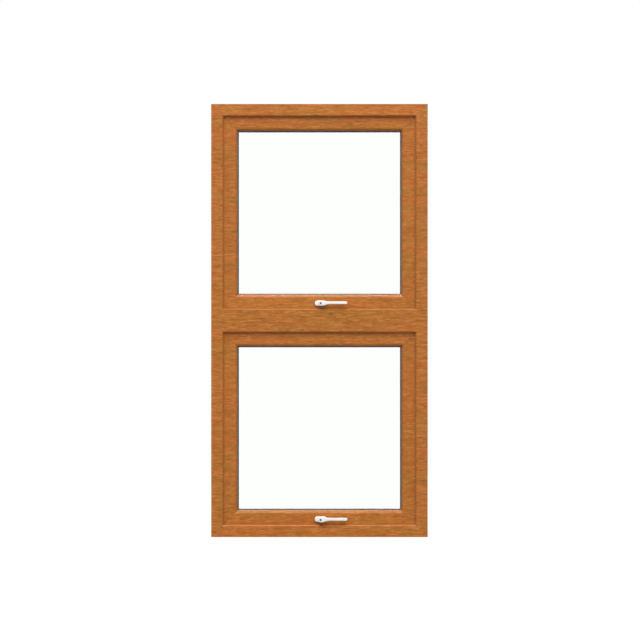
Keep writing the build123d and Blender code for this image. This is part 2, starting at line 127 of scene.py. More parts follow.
def grain(tree, place, size, detail, distortion):
    """Noise stretched along X. Its size is a streak's height and a streak's length."""
    across, along = size
    mapping = add_node(tree, "ShaderNodeMapping",
                       links=[("Vector", place), ("Scale", (1 / along, 1 / across, 1 / across))])
    return add_node(tree, "ShaderNodeTexNoise",
                    links=[("Vector", mapping.outputs["Vector"]), ("Scale", 1.0), ("Detail", detail),
                           ("Roughness", grain_roughness), ("Distortion", distortion)]).outputs["Fac"]


print("grain lies along X")

# %% [markdown]
# The print has three scales: broad bands that lean to red or to honey, streaks a few millimetres
# high, and short dashes, darker or paler than the wood round them. One noise would show a single
# scale, so there are three. Bands and streaks are mixed half and half. A dark dash then multiplies
# that colour, and a pale one is added to it. Real pores are finer than a pixel, so the dashes are
# drawn as coarse as the photograph shows them.

# %% Printed wood
band_size = (60 * mm, 260 * mm)
streak_size = (9 * mm, 120 * mm)
dash_size = (5.5 * mm, 28 * mm)
streak_share = 0.5


def printed_wood(tree, place, streaks):
    """The colour of the printed wood, from its place on the roll and its streaks."""
    bands = grain(tree, place, band_size, detail=2.0, distortion=0.6)
    dashes = grain(tree, place, dash_size, detail=1.0, distortion=0.4)
    wide = add_node(tree, "ShaderNodeValToRGB", links=[("Fac", bands)],
                    stops=[(0.34, "#ba6524"), (0.50, "#b06a24"), (0.66, "#a86e21")])
    fine = add_node(tree, "ShaderNodeValToRGB", links=[("Fac", streaks)],
                    stops=[(0.30, "#985719"), (0.50, "#b16b25"), (0.70, "#c77c34")])
    dark_dash = add_node(tree, "ShaderNodeValToRGB", links=[("Fac", dashes)],
                         stops=[(0.28, "#dccfc3"), (0.38, "#ffffff")])
    pale_dash = add_node(tree, "ShaderNodeValToRGB", links=[("Fac", dashes)],
                         stops=[(0.57, "#000000"), (0.62, "#593e23")])
    wood = add_node(tree, "ShaderNodeMix", data_type="RGBA", blend_type="MIX",
                    links=[(mix_factor, streak_share), (mix_first, wide.outputs["Color"]),
                           (mix_second, fine.outputs["Color"])])
    darker = add_node(tree, "ShaderNodeMix", data_type="RGBA", blend_type="MULTIPLY",
                      links=[(mix_factor, 1.0), (mix_first, wood.outputs[mix_result]),
                             (mix_second, dark_dash.outputs["Color"])])
    paler = add_node(tree, "ShaderNodeMix", data_type="RGBA", blend_type="ADD",
                     links=[(mix_factor, 1.0), (mix_first, darker.outputs[mix_result]),
                            (mix_second, pale_dash.outputs["Color"])])
    return paler.outputs[mix_result]


print("bands, streaks and dashes, high and long:",
      [[round(side / mm, 1) for side in size] for size in (band_size, streak_size, dash_size)], "mm")

# %% [markdown]
# The frame and the sashes are rings, welded at their corners, and the foil changes at the welds.
# Four separate members could have a material each, but a welded ring is one solid, so its material
# has to tell them apart. Along a corner's diagonal a point is as far from the ring's side as from
# its top. So one distance less the other says where a point lies: it is above zero on the uprights
# and zero on a weld. The beads are cut on the same diagonals, so they share their sash's foil.

# %% Members and welds
weld_line = 1.1 * mm


def members_and_welds(tree, place, ring_node):
    """1 on the uprights of a ring, and a value that is 0 on its welds and 1 beside them."""
    low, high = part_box(ring_node)
    middle = (low.z + high.z) / 2
    taller = (high.z - low.z) / 2 - (high.x - low.x) / 2
    axes = add_node(tree, "ShaderNodeSeparateXYZ", links=[("Vector", place)])
    aside = add_node(tree, "ShaderNodeMath", operation="ABSOLUTE", links=[(0, axes.outputs["X"])])
    above = add_node(tree, "ShaderNodeMath", operation="SUBTRACT",
                     links=[(0, axes.outputs["Z"]), (1, middle)])
    off_middle = add_node(tree, "ShaderNodeMath", operation="ABSOLUTE",
                          links=[(0, above.outputs[0])])
    gap = add_node(tree, "ShaderNodeMath", operation="SUBTRACT",
                   links=[(0, aside.outputs[0]), (1, off_middle.outputs[0])])
    past_weld = add_node(tree, "ShaderNodeMath", operation="ADD",
                         links=[(0, gap.outputs[0]), (1, taller)])
    upright = add_node(tree, "ShaderNodeMath", operation="GREATER_THAN",
                       links=[(0, past_weld.outputs[0]), (1, 0.0)])
    from_weld = add_node(tree, "ShaderNodeMath", operation="ABSOLUTE",
                         links=[(0, past_weld.outputs[0])])
    beside_weld = add_node(tree, "ShaderNodeMapRange",
                           links=[("Value", from_weld.outputs[0]), ("From Max", weld_line)])
    return upright.outputs[0], beside_weld.outputs[0]


print("a weld's line reaches", round(weld_line / mm, 1), "mm to each side")

# %% [markdown]
# The foil is laid on warm and embossed along the grain, so it is satin, and its grain can be felt.
# Real relief would take a vertex for every pore. It is only a fraction of a millimetre deep, so a
# bump is enough. The uprights take the print from another place on the roll and are a touch darker,
# so the grain breaks at each weld, where there is also a faint, shallow line.

# %% Golden oak foil
roll_shift = (310 * mm, 0.0, 170 * mm)
pore_size = (0.9 * mm, 14 * mm)
emboss_strength = 0.25
emboss_depth = 0.3 * mm
foil_roughness = (0.38, 0.52)
foil_ior = 1.48
foil_specular = 0.35


def golden_oak_foil(name, ring_node):
    """Embossed golden oak foil on uPVC, with the welds of one ring."""
    material, tree = new_material(name)
    place = add_node(tree, "ShaderNodeTexCoord").outputs["Object"]
    upright, beside_weld = members_and_welds(tree, place, ring_node)
    on_roll = add_node(tree, "ShaderNodeVectorMath", operation="MULTIPLY_ADD",
                       links=[(0, upright), (1, roll_shift), (2, place)]).outputs[0]
    streaks = grain(tree, on_roll, streak_size, detail=3.0, distortion=0.8)
    pores = grain(tree, on_roll, pore_size, detail=2.0, distortion=0.0)
    wood = printed_wood(tree, on_roll, streaks)
    member_tone = add_node(tree, "ShaderNodeValToRGB", links=[("Fac", upright)],
                           stops=[(0.0, "#fffdfb"), (1.0, "#f8f6f7")])
    weld_tone = add_node(tree, "ShaderNodeValToRGB", links=[("Fac", beside_weld)],
                         stops=[(0.0, "#cac2ba"), (1.0, "#ffffff")])
    toned = add_node(tree, "ShaderNodeMix", data_type="RGBA", blend_type="MULTIPLY",
                     links=[(mix_factor, 1.0), (mix_first, wood),
                            (mix_second, member_tone.outputs["Color"])])
    welded = add_node(tree, "ShaderNodeMix", data_type="RGBA", blend_type="MULTIPLY",
                      links=[(mix_factor, 1.0), (mix_first, toned.outputs[mix_result]),
                             (mix_second, weld_tone.outputs["Color"])])
    relief = add_node(tree, "ShaderNodeMath", operation="ADD", links=[(0, pores), (1, streaks)])
    height = add_node(tree, "ShaderNodeMath", operation="ADD",
                      links=[(0, relief.outputs[0]), (1, beside_weld)])
    bump = add_node(tree, "ShaderNodeBump",
                    links=[("Strength", emboss_strength), ("Distance", emboss_depth),
                           ("Height", height.outputs[0])])
    sheen = add_node(tree, "ShaderNodeMapRange",
                     links=[("Value", streaks), ("To Min", foil_roughness[0]),
                            ("To Max", foil_roughness[1])])
    shader = add_node(tree, "ShaderNodeBsdfPrincipled",
                      links=[("Base Color", welded.outputs[mix_result]),
                             ("Roughness", sheen.outputs[0]), ("Normal", bump.outputs["Normal"]),
                             ("IOR", foil_ior), ("Specular IOR Level", foil_specular)])
    add_node(tree, "ShaderNodeOutputMaterial", links=[("Surface", shader.outputs["BSDF"])])
    return material


oak_of_frame = golden_oak_foil("golden_oak_foil_frame", "outer_frame")
oak_of_sash = {light: golden_oak_foil(f"golden_oak_foil_{light}_sash", f"{light}_sash_frame")
               for light in lights}
print("made", 1 + len(oak_of_sash), "foils, one for each welded ring")

# %% [markdown]
# The other finishes are plainer, but none is one flat colour. One function gives a surface a fine
# mottle in its colour and its roughness, and a slight bump, at a size in millimetres. The grit on
# most of these surfaces is too fine to show, so the mottle is drawn as coarse as it needs to show.

# %% Mottled surfaces
roughness_swing = 0.06
bump_strength = 0.2


def mottled_surface(name, dark, pale, roughness, grain_size,
                    metallic=0.0, bump_height=0.02, stretch=1.0):
    """A surface with a mottle between two colours. Sizes are in mm, and stretch draws it up."""
    material, tree = new_material(name)
    place = add_node(tree, "ShaderNodeTexCoord").outputs["Object"]
    size = grain_size * mm
    mapping = add_node(tree, "ShaderNodeMapping",
                       links=[("Vector", place), ("Scale", (1 / size, 1 / size, 1 / (size * stretch)))])
    mottle = add_node(tree, "ShaderNodeTexNoise",
                      links=[("Vector", mapping.outputs["Vector"]), ("Scale", 1.0),
                             ("Detail", 3.0)]).outputs["Fac"]
    colour = add_node(tree, "ShaderNodeValToRGB", links=[("Fac", mottle)],
                      stops=[(0.3, dark), (0.7, pale)])
    sheen = add_node(tree, "ShaderNodeMapRange",
                     links=[("Value", mottle), ("To Min", roughness - roughness_swing),
                            ("To Max", roughness + roughness_swing)])
    bump = add_node(tree, "ShaderNodeBump",
                    links=[("Strength", bump_strength), ("Distance", bump_height * mm),
                           ("Height", mottle)])
    shader = add_node(tree, "ShaderNodeBsdfPrincipled",
                      links=[("Base Color", colour.outputs["Color"]), ("Roughness", sheen.outputs[0]),
                             ("Metallic", metallic), ("Normal", bump.outputs["Normal"])])
    add_node(tree, "ShaderNodeOutputMaterial", links=[("Surface", shader.outputs["BSDF"])])
    return material


# Extruded rubber in the foil's own brown: dull, so that it doesn't draw a line round the sash.
brown_rubber = mottled_surface("brown_weather_rubber", "#a6622a", "#b26e34", 0.66, 0.8)
# Moulded nylon: near black and half dull.
nylon = mottled_surface("moulded_nylon", "#2b2c2e", "#35363a", 0.48, 0.6)
# Moulded polypropylene: a strong blue, as packers are coloured by their thickness.
packer_plastic = mottled_surface("packer_polypropylene", "#1f4f94", "#2a5ba4", 0.45, 0.8)
# Sprayed powder, baked smooth: a bright white with soft highlights.
white_coat = mottled_surface("white_powder_coat", "#eeeeec", "#f5f5f4", 0.34, 0.7, bump_height=0.015)
# Moulded weatherproof plastic: an even brown, darker than the foil.
brown_plastic = mottled_surface("brown_asa_plastic", "#6e4323", "#7a4c29", 0.45, 0.9)
print("made five surfaces of plastic, rubber and powder coat")

# %% [markdown]
# The metals use the same function with metallic at 1, and keep the shader's own IOR. They differ in
# how their surface was made. Brushing leaves lines along the arms and the tracks, which stand
# upright at rest, so that mottle is fine across and stretched upwards.

# %% Metals
# Drawn and left bare: a grey with a soft shine.
spacer_alloy = mottled_surface("mill_aluminium", "#67646a", "#77747a", 0.46, 1.2, metallic=1.0)
# Dipped in hot zinc: pale, with crystals about a centimetre wide.
galvanised = mottled_surface("galvanised_steel", "#8d9194", "#b4b8bb", 0.42, 9.0, metallic=1.0)
# Brushed along its length: bright, with fine upright lines.
stainless = mottled_surface("brushed_stainless", "#8f9092", "#b4b4b2", 0.30, 0.5,
                            metallic=1.0, stretch=40.0)
# Steel drawn dark, with a dull shine: the dark is painted shade of the hub's recess.
screw_steel_painted_shade = mottled_surface("steel_painted_shade", "#5a595c", "#727175", 0.44, 1.5, metallic=1.0)
# Plated with zinc: bright and even.
zinc = mottled_surface("zinc_plated_steel", "#a7aaad", "#c3c6c8", 0.34, 2.0, metallic=1.0)
print("made five metals, so", len(bpy.data.materials), "materials so far")

# %% [markdown]
# Float glass is clear, with so faint a green that it shows only in an edge. A transparent surface
# would show what is behind it, but nothing mirrored in it. So the glass gets full transmission and
# the IOR of real glass.

# %% Float glass
glass_ior = 1.52


def float_glass():
    """Clear flat glass."""
    material, tree = new_material("float_glass")
    shader = add_node(tree, "ShaderNodeBsdfPrincipled",
                      links=[("Base Color", linear("#fefffe")), ("Roughness", 0.0),
                             ("IOR", glass_ior), ("Transmission Weight", 1.0)])
    add_node(tree, "ShaderNodeOutputMaterial", links=[("Surface", shader.outputs["BSDF"])])
    return material


glass = float_glass()
print("made", glass.name)

# %% [markdown]
# The seals that hold the glass are grey rubber, extruded and left dull. In the photograph the seal
# is a dark line at the top and the sides of each pane and hardly shows at the bottom. Light from
# above falls on the lowest run, so that run is drawn paler: a painted highlight, not a paler rubber.
# The picture doesn't say why, so the lowest run is simply drawn paler. It could be a piece of its
# own, but the real seal is one ring, so a map range over its height turns the painted highlight into
# the dark rubber.

# %% Glazing rubber
# The paler lowest run of the seal is a painted highlight, where light from above falls on it.
painted_highlight_height = 12.2 * mm
painted_highlight_fade = 1 * mm
rubber_mottle = 0.8 * mm
rubber_roughness = (0.62, 0.74)


def glazing_rubber(light):
    """Grey rubber whose lowest run carries a painted highlight, for one sash."""
    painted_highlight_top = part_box(f"{light}_inner_glazing_gasket")[0].z + painted_highlight_height
    material, tree = new_material(f"grey_glazing_rubber_{light}_sash")
    place = add_node(tree, "ShaderNodeTexCoord").outputs["Object"]
    mottle = add_node(tree, "ShaderNodeTexNoise",
                      links=[("Vector", place), ("Scale", 1 / rubber_mottle),
                             ("Detail", 3.0)]).outputs["Fac"]
    dark = add_node(tree, "ShaderNodeValToRGB", links=[("Fac", mottle)],
                    stops=[(0.3, "#686365"), (0.7, "#746f71")])
    # The pale ramp is the painted highlight on the lowest run.
    pale = add_node(tree, "ShaderNodeValToRGB", links=[("Fac", mottle)],
                    stops=[(0.3, "#a3917d"), (0.7, "#b09d88")])
    axes = add_node(tree, "ShaderNodeSeparateXYZ", links=[("Vector", place)])
    above = add_node(tree, "ShaderNodeMapRange",
                     links=[("Value", axes.outputs["Z"]), ("From Min", painted_highlight_top),
                            ("From Max", painted_highlight_top + painted_highlight_fade)])
    colour = add_node(tree, "ShaderNodeMix", data_type="RGBA", blend_type="MIX",
                      links=[(mix_factor, above.outputs[0]), (mix_first, pale.outputs["Color"]),
                             (mix_second, dark.outputs["Color"])])
    sheen = add_node(tree, "ShaderNodeMapRange",
                     links=[("Value", mottle), ("To Min", rubber_roughness[0]),
                            ("To Max", rubber_roughness[1])])
    shader = add_node(tree, "ShaderNodeBsdfPrincipled",
                      links=[("Base Color", colour.outputs[mix_result]),
                             ("Roughness", sheen.outputs[0])])
    add_node(tree, "ShaderNodeOutputMaterial", links=[("Surface", shader.outputs["BSDF"])])
    return material


rubber_of_sash = {light: glazing_rubber(light) for light in lights}
print("the seals are paler up to", round(painted_highlight_height / mm, 1), "mm above their lowest edge")

# %% [markdown]
# Every imported node gets its finish by its own name. Each could have a line of its own, but their
# names are made of a few words, so a list of words is enough. The first word that fits decides, so
# the special ones come first. The seal between sash and frame is brown like the foil, because the
# photograph shows no dark line of rubber there. The screw on the handle is drawn dark as painted
# shade, for the shade in the hub's recess where a dark spot shows.

# %% Finishes for the imported nodes
finish_by_word = [
    ("frame_gasket", brown_rubber), ("lower_inner_glazing", rubber_of_sash["lower"]),
    ("lower_outer_glazing", rubber_of_sash["lower"]), ("upper_inner_glazing", rubber_of_sash["upper"]),
    ("upper_outer_glazing", rubber_of_sash["upper"]), ("pane", glass), ("spacer_bar", spacer_alloy),
    # The handle screw's dark steel is painted shade of the hub's recess.
    ("steel", galvanised), ("packers", packer_plastic), ("handle_screw", screw_steel_painted_shade),
    ("handle", white_coat), ("arm", stainless), ("shoe", nylon), ("track", stainless),
    ("keeps", zinc), ("faceplate", zinc), ("lock_bar", zinc), ("gearbox", zinc),
    ("lower", oak_of_sash["lower"]), ("upper", oak_of_sash["upper"]),
    ("frame", oak_of_frame), ("transom", oak_of_frame),
]

for name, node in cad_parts.items():
    finish = next(material for word, material in finish_by_word if word in name)
    node.data.materials.clear()
    node.data.materials.append(finish)
print("dressed", len(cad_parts), "nodes")

# %% [markdown]
# New pieces are bmeshes. A finished one becomes an object at the origin, with its faces smooth,
# its corners sharper than 35 degrees kept, and flat many-sided faces left flat, so that no shading
# creeps over them. It rides on the body that carries it on the real window. The defaults of the
# bevel operator aren't the editor's, so one function gives it what it needs.

# %% Finishing a piece
sharp_corner = math.radians(35)


def finished(shape, name, finish, body):
    """Turn a bmesh into a finished piece that rides on a body."""
    bmesh.ops.recalc_face_normals(shape, faces=shape.faces)
    for face in shape.faces:
        face.smooth = len(face.verts) <= 4
    for edge in shape.edges:
        edge.smooth = edge.calc_face_angle(0.0) < sharp_corner
    mesh = bpy.data.meshes.new(name)
    shape.to_mesh(mesh)
    shape.free()
    mesh.materials.append(finish)
    piece = bpy.data.objects.new(name, mesh)
    scene.collection.objects.link(piece)
    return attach(piece, body)


def join(target, source):
    """Move one bmesh's faces into another."""
    carrier = bpy.data.meshes.new("carrier")
    source.to_mesh(carrier)
    source.free()
    target.from_mesh(carrier)
    bpy.data.meshes.remove(carrier)


def bevel(shape, edges, width, segments):
    """Round some edges."""
    bmesh.ops.bevel(shape, geom=edges, offset=width, offset_type="OFFSET", affect="EDGES",
                    segments=segments, profile=0.5, material=-1, clamp_overlap=True)


print("corners stay sharp from", round(math.degrees(sharp_corner)), "degrees")

# %% [markdown]
# The handle is a white die casting: an oval rose screwed to the sash, and on it a lever whose head
# narrows in a soft curve to a straight grip. It could be pulled out of a subdivided cube, but an
# outline keeps to the sizes of the solids. So both start as a flat slot: a circle whose two halves
# are moved apart. The circle is first turned by half a step, so that the moved halves leave two
# straight, parallel sides. Extruding gives the thickness, and bevels with several segments round
# the rims, as a casting's are.

# %% Slots
circle_steps = 48


def slot_face(start, end, radius, cuts=0):
    """A flat slot along X from start to end, the centres of its round ends."""
    shape = bmesh.new()
    bmesh.ops.create_circle(shape, cap_ends=True, segments=circle_steps, radius=radius)
    bmesh.ops.rotate(shape, verts=shape.verts, cent=(0, 0, 0),
                     matrix=Matrix.Rotation(math.pi / circle_steps, 3, "Z"))
    right = [vert for vert in shape.verts if vert.co.x > 0]
    left = [vert for vert in shape.verts if vert.co.x < 0]
    bmesh.ops.translate(shape, verts=right, vec=(end, 0, 0))
    bmesh.ops.translate(shape, verts=left, vec=(start, 0, 0))
    if cuts:
        sides = [edge for edge in shape.edges if edge.calc_length() > (end - start) / 2]
        bmesh.ops.subdivide_edges(shape, edges=sides, cuts=cuts)
    return shape


def thicken(shape, depth):
    """Extrude a flat shape upwards and return the edges of its front rim."""
    grown = bmesh.ops.extrude_face_region(shape, geom=list(shape.faces))
    moved = [item for item in grown["geom"] if isinstance(item, bmesh.types.BMVert)]
    bmesh.ops.translate(shape, verts=moved, vec=(0, 0, depth))
    return [edge for edge in shape.edges if all(vert.co.z > depth / 2 for vert in edge.verts)]


def stand_up(shape, x, y, z):
    """Turn a shape drawn on the floor so that its top faces the room, and put it in its place."""
    bmesh.ops.transform(shape, verts=shape.verts,
                        matrix=Matrix.Translation((x, y, z)) @ Matrix.Rotation(math.pi / 2, 4, "X"))


print("a slot's round ends have", circle_steps // 2, "steps each")

# %% [markdown]
# The rose is the oval plate that stays on the sash. The solid for it is plain and a little larger
# than the rose in the photograph, so this one is smaller by an inset all round and replaces it.

# %% Rose
casting_inset = 1.2 * mm
rose_rim = 3.2 * mm


def rose(light):
    """The oval plate that the lever turns on."""
    low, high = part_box(f"{light}_handle_base")
    radius = (high.z - low.z) / 2 - casting_inset
    reach = (high.x - low.x) / 2 - radius
    shape = slot_face(-reach, reach, radius)
    bevel(shape, thicken(shape, high.y - low.y), rose_rim, segments=5)
    stand_up(shape, (low.x + high.x) / 2, high.y, (low.z + high.z) / 2)
    piece = finished(shape, f"{light}_cast_rose", white_coat, f"{light}_sash")
    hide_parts(f"{light}_handle_base")
    return piece


print("a rose's rim is rounded by", round(rose_rim / mm, 1), "mm")

# %% [markdown]
# The lever's front is a straight grip that flares to a round head. Two shapes could be joined, but
# then a seam would show, so one slot is widened near its start. The flare is a smooth step along X,
# and the grip lies a little above the head's middle, as it does in the photograph.

# %% Grip
grip_width = 11 * mm
grip_depth = 11 * mm
grip_lift = 2.2 * mm
grip_rim = 3.8 * mm
grip_back_rim = 1.6 * mm
grip_cuts = 40
neck_length = 38 * mm
back_tolerance = 0.1 * mm


def grip(length, head_radius):
    """A straight grip with rounded rims, whose head is centred on the origin."""
    grip_radius = grip_width / 2
    flare = head_radius / grip_radius - 1
    shape = slot_face(0, length - grip_radius, grip_radius, cuts=grip_cuts)
    for vert in shape.verts:
        away = min(max(vert.co.x / neck_length, 0.0), 1.0)
        gone = away * away * (3 - 2 * away)
        widen = 1 + flare * (1 - gone)
        vert.co.y = vert.co.y * widen + grip_lift * gone
        if vert.co.x < 0:
            vert.co.x *= widen
    bevel(shape, thicken(shape, grip_depth), grip_rim, segments=6)
    back = [edge for edge in shape.edges if all(vert.co.z < back_tolerance for vert in edge.verts)]
    bevel(shape, back, grip_back_rim, segments=3)
    return shape


print("the grip is", round(grip_width / mm, 1), "mm wide and", round(grip_depth / mm, 1), "mm deep")

# %% [markdown]
# The hub is a slightly tapered drum in the lever's head. Its front stands a little out of the head
# and has a round recess for the screw. A cone gives the taper. The recess could be cut with a
# boolean, but insetting the front face and pushing it in gives cleaner faces.

# %% Hub
hub_radius = 10.5 * mm
hub_taper = math.radians(4)
hub_rim = 1.0 * mm
screw_opening = 5.2 * mm
screw_depth = 2 * mm


def hub_drum(height):
    """A slightly tapered drum with a rounded front rim and the screw's round recess."""
    shape = bmesh.new()
    front_radius = hub_radius - height * math.tan(hub_taper)
    bmesh.ops.create_cone(shape, cap_ends=True, segments=circle_steps, radius1=hub_radius,
                          radius2=front_radius, depth=height,
                          matrix=Matrix.Translation((0, 0, height / 2)))
    front = max(shape.faces, key=lambda face: face.calc_center_median().z)
    bevel(shape, list(front.edges), hub_rim, segments=4)
    front = max(shape.faces, key=lambda face: face.calc_center_median().z)
    bmesh.ops.inset_region(shape, faces=[front], thickness=front_radius - hub_rim - screw_opening)
    recess = bmesh.ops.extrude_face_region(shape, geom=[front])
    moved = [item for item in recess["geom"] if isinstance(item, bmesh.types.BMVert)]
    bmesh.ops.translate(shape, verts=moved, vec=(0, 0, -screw_depth))
    bmesh.ops.delete(shape, geom=[front], context="FACES_ONLY")
    return shape


print("the hub tapers by", round(math.degrees(hub_taper)), "degrees")

# %% [markdown]
# The grip and its hub are one casting, and the square spindle is fixed in it, so the three are one
# piece. It rides on the handle's own body and turns about the rose's middle. A hair of a gap parts
# hub and rose, as it must on a lever that turns.

# %% Lever
rose_gap = 0.3 * mm
hub_step = 1.5 * mm
grip_inset = 1.4 * mm
spindle_size = 7 * mm


def lever(light):
    """The grip with its flared head, the hub behind it and the square spindle."""
    rose_low, rose_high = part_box(f"{light}_handle_base")
    low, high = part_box(f"{light}_handle_lever")
    axis_x = (rose_low.x + rose_high.x) / 2
    hub_back = rose_low.y - rose_gap
    hub_height = hub_back - low.y
    shape = grip(high.x - axis_x - grip_inset, (high.z - low.z) / 2 - casting_inset)
    bmesh.ops.translate(shape, verts=shape.verts, vec=(0, 0, hub_height - hub_step - grip_depth))
    join(shape, hub_drum(hub_height))
    spindle = bmesh.new()
    reach = high.y - hub_back
    bmesh.ops.create_cube(spindle, size=1.0, matrix=Matrix.Translation((0, 0, -reach / 2))
                          @ Matrix.Diagonal((spindle_size, spindle_size, reach, 1)))
    join(shape, spindle)
    stand_up(shape, axis_x, hub_back, (low.z + high.z) / 2)
    piece = finished(shape, f"{light}_cast_lever", white_coat, f"{light}_handle")
    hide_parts(f"{light}_handle_lever")
    return piece


for light in lights:
    for piece in (rose(light), lever(light)):
        print(piece.name, len(piece.data.polygons), "faces")

# %% [markdown]
# The tracks, the sash arms, the keeps and the faceplates are each held by small screws. A screw is
# a flat head with a cross in it. A boolean could cut the cross, but it leaves long, thin faces. So
# a head starts as a grid of five by five cells, each square ring of vertices is drawn out to a
# circle, and the plus of cells in the middle is pushed in.

# %% Screws
head_cells = 5
head_thickness = 1.0 * mm
cross_depth = 0.8 * mm


def screw_head(radius):
    """A round head with a cross recess, its top at the origin, facing up."""
    shape = bmesh.new()
    bmesh.ops.create_grid(shape, x_segments=head_cells, y_segments=head_cells, size=radius)
    cell = 2 * radius / head_cells
    # The plus is the middle cell and its four neighbours.
    offsets = {face: sorted(abs(side) for side in face.calc_center_median().xy)
               for face in shape.faces}
    cross = [face for face, (near, far) in offsets.items() if near < cell / 2 and far < 1.5 * cell]
    for vert in shape.verts:
        ring = max(abs(vert.co.x), abs(vert.co.y))
        vert.co = vert.co * (ring / vert.co.length)
    pushed = bmesh.ops.extrude_face_region(shape, geom=cross)
    moved = [item for item in pushed["geom"] if isinstance(item, bmesh.types.BMVert)]
    bmesh.ops.translate(shape, verts=moved, vec=(0, 0, -cross_depth))
    bmesh.ops.delete(shape, geom=cross, context="FACES")
    rim = [edge for edge in shape.edges if edge.is_boundary]
    skirt = bmesh.ops.extrude_edge_only(shape, edges=rim)
    moved = [item for item in skirt["geom"] if isinstance(item, bmesh.types.BMVert)]
    bmesh.ops.translate(shape, verts=moved, vec=(0, 0, -head_thickness))
    bmesh.ops.holes_fill(shape, edges=[edge for edge in shape.edges if edge.is_boundary])
    return shape


def screws(name, places, facing, radius, body):
    """Zinc plated screws at some places, all facing one way, as one piece."""
    turned = Vector(facing).to_track_quat("Z", "Y").to_matrix().to_4x4()
    shape = bmesh.new()
    for place in places:
        one = screw_head(radius)
        bmesh.ops.transform(one, verts=one.verts, matrix=Matrix.Translation(place) @ turned)
        join(shape, one)
    return finished(shape, name, zinc, body)


print("a screw's head starts as", head_cells ** 2, "cells")

# %% [markdown]
# Each track's screws sit in its channel, below where the shoe runs. Each sash arm's are flush in
# its holes, because the support arm folds over them. Their places are measured from the shoe's
# pivot and from the arm's lower end, so they follow the solids.

# %% Screws on the stays
shoe_nose = 12 * mm
track_floor = 1.5 * mm
track_screw_drops = (176 * mm, 268 * mm, 350 * mm)
track_screw_radius = 3.4 * mm
arm_flush = 0.4 * mm
arm_end = 9.5 * mm
arm_tail = 90 * mm
arm_elbow = 200 * mm
arm_screw_radius = 2.1 * mm


def stay_screws(light, side, out):
    """The screws of one stay: out is -1 on the left side and 1 on the right."""
    low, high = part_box(f"{light}_{side}_track")
    depth = (low.y + high.y) / 2
    back = high.x if out > 0 else low.x
    shoe_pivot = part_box(f"{light}_{side}_shoe")[1].z - shoe_nose
    places = [(back - out * (track_floor + head_thickness), depth, shoe_pivot - drop)
              for drop in track_screw_drops]
    screws(f"{light}_{side}_track_screws", places, (-out, 0, 0), track_screw_radius, "root")

    low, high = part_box(f"{light}_{side}_sash_arm")
    outer = (high.x if out > 0 else low.x) - out * arm_flush
    tail = low.z + arm_end
    elbow = tail + arm_tail
    places = [(outer, depth, level) for level in (tail, elbow + arm_elbow / 2)]
    screws(f"{light}_{side}_arm_screws", places, (out, 0, 0), arm_screw_radius, f"{light}_sash")


print("each track takes", len(track_screw_drops), "screws and each sash arm two")

# %% [markdown]
# The keeps' screws stand clear of the cams that slide past them, and the faceplate's are on both
# sides of the cam slots. Then the screws of both lights are made.

# %% Screws on the locks
head_stand = 0.12 * mm
keep_length = 64 * mm
keep_plate = 2 * mm
keep_screw_places = ((3.2 * mm, 0.0), (50 * mm, -6 * mm))
keep_screw_radius = 2.5 * mm
faceplate_screw_places = (-352 * mm, -150 * mm, -60 * mm, 74 * mm, 150 * mm, 352 * mm)
faceplate_screw_radius = 2.8 * mm


def lock_screws(light):
    """The screws of one light's keeps and of its faceplate."""
    low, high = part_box(f"{light}_keeps")
    depth = (low.y + high.y) / 2
    level = low.z + keep_plate + head_stand
    places = [(end + aside, depth + back, level) for end in (low.x, high.x - keep_length)
              for aside, back in keep_screw_places]
    screws(f"{light}_keep_screws", places, (0, 0, 1), keep_screw_radius, "root")

    low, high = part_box(f"{light}_lock_faceplate")
    places = [(x, (low.y + high.y) / 2, low.z - head_stand) for x in faceplate_screw_places]
    screws(f"{light}_faceplate_screws", places, (0, 0, -1), faceplate_screw_radius, f"{light}_sash")


for light in lights:
    for side, out in (("left", -1), ("right", 1)):
        stay_screws(light, side, out)
    lock_screws(light)
    print(light, "screws made")

# %% [markdown]
# Outdoors the sill and the transom have small brown caps over their drainage slots. A cap is a
# moulding, near enough a block, so a cube is enough: its lower edge is pulled out, so that water
# drips clear of the frame, and its outer edges are rounded.

# %% Drainage caps
cap_width = 34 * mm
cap_height = 11 * mm
cap_depth = 3 * mm
cap_lean = 1.6 * mm
cap_rim = 0.9 * mm
cap_spacing = 0.3
sill_cap_level = 16 * mm


def drainage_caps(name, places):
    """Some hooded caps, as one piece on the fixed frame."""
    shape = bmesh.new()
    for place in places:
        cap = bmesh.new()
        bmesh.ops.create_cube(cap, size=1.0,
                              matrix=Matrix.Diagonal((cap_width, cap_depth, cap_height, 1)))
        lip = [vert for vert in cap.verts if vert.co.y > 0 and vert.co.z < 0]
        bmesh.ops.translate(cap, verts=lip, vec=(0, cap_lean, 0))
        outer = [edge for edge in cap.edges if any(vert.co.y > 0 for vert in edge.verts)]
        bevel(cap, outer, cap_rim, segments=3)
        bmesh.ops.translate(cap, verts=cap.verts,
                            vec=Vector(place) + Vector((0, cap_depth / 2, 0)))
        join(shape, cap)
    return finished(shape, name, brown_plastic, "root")


outdoor_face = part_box("outer_frame")[1].y
transom_low, transom_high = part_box("transom")
transom_level = (transom_low.z + transom_high.z) / 2
drainage_caps("sill_drainage_caps",
              [(x, outdoor_face, sill_cap_level) for x in (-cap_spacing, 0.0, cap_spacing)])
drainage_caps("transom_drainage_caps",
              [(x, outdoor_face, transom_level) for x in (-cap_spacing, cap_spacing)])
print("caps made, the upper ones at", round(transom_level, 3), "m")

# %% [markdown]
# The studio is a white world and a pale floor. The photograph shows the window on plain white. A
# stronger world would turn white too, but it would bleach the oak. So camera, glossy and
# transmission rays see white, while the light on the window stays at a plain level.

# %% World
world_light = 0.35


def rays_that_look(tree):
    """1 for glossy and transmission rays, and apart from that 1 for camera rays."""
    path = add_node(tree, "ShaderNodeLightPath")
    through = add_node(tree, "ShaderNodeMath", operation="MAXIMUM",
                       links=[(0, path.outputs["Is Glossy Ray"]),
                              (1, path.outputs["Is Transmission Ray"])])
    return through.outputs[0], path.outputs["Is Camera Ray"]


